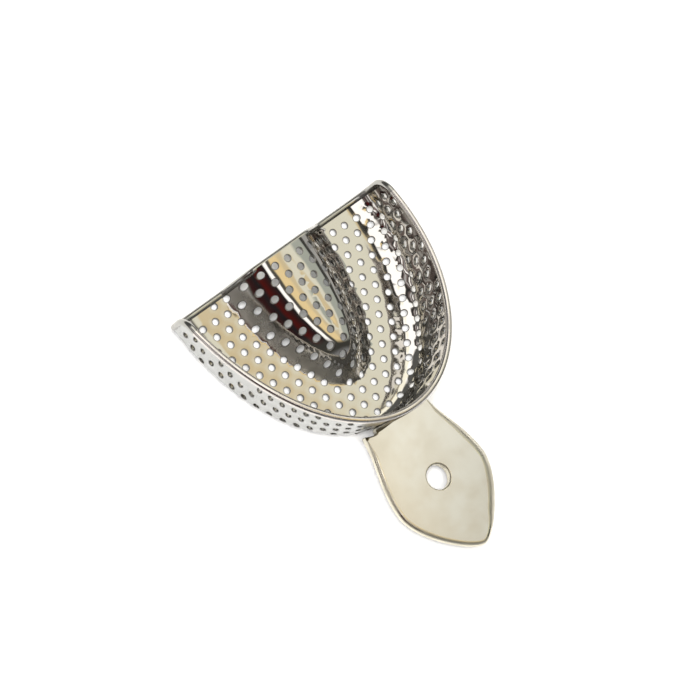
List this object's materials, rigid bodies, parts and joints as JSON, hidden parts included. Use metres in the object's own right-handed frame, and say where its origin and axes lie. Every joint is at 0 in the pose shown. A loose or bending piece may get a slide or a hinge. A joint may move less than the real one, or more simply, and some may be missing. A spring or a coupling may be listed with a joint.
{
  "type": "impression tray",
  "caption": "Full-arch perforated steel impression tray with a wired rim, domed palate and flat finger handle with a round hole.",
  "frame": {"origin": "centre of the bounding box in plan, at the level the tray rests on", "axes": "+Z out of the impression trough, +Y towards the open back edge, -Y towards the handle tip, x = 0 is the plane of symmetry"},
  "size_m": [0.0718, 0.0936, 0.0206],
  "materials": {
    "pressed_sheet": "mirror polished stainless steel with fine wiping scratches",
    "wire": "polished stainless steel wire",
    "handle_plate": "satin to mirror polished stainless steel plate"
  },
  "bodies": {
    "root": {"perforated_shell": "pressed_sheet", "border_wire": "wire", "posterior_wire": "wire", "handle": "handle_plate"}
  },
  "joints": []
}
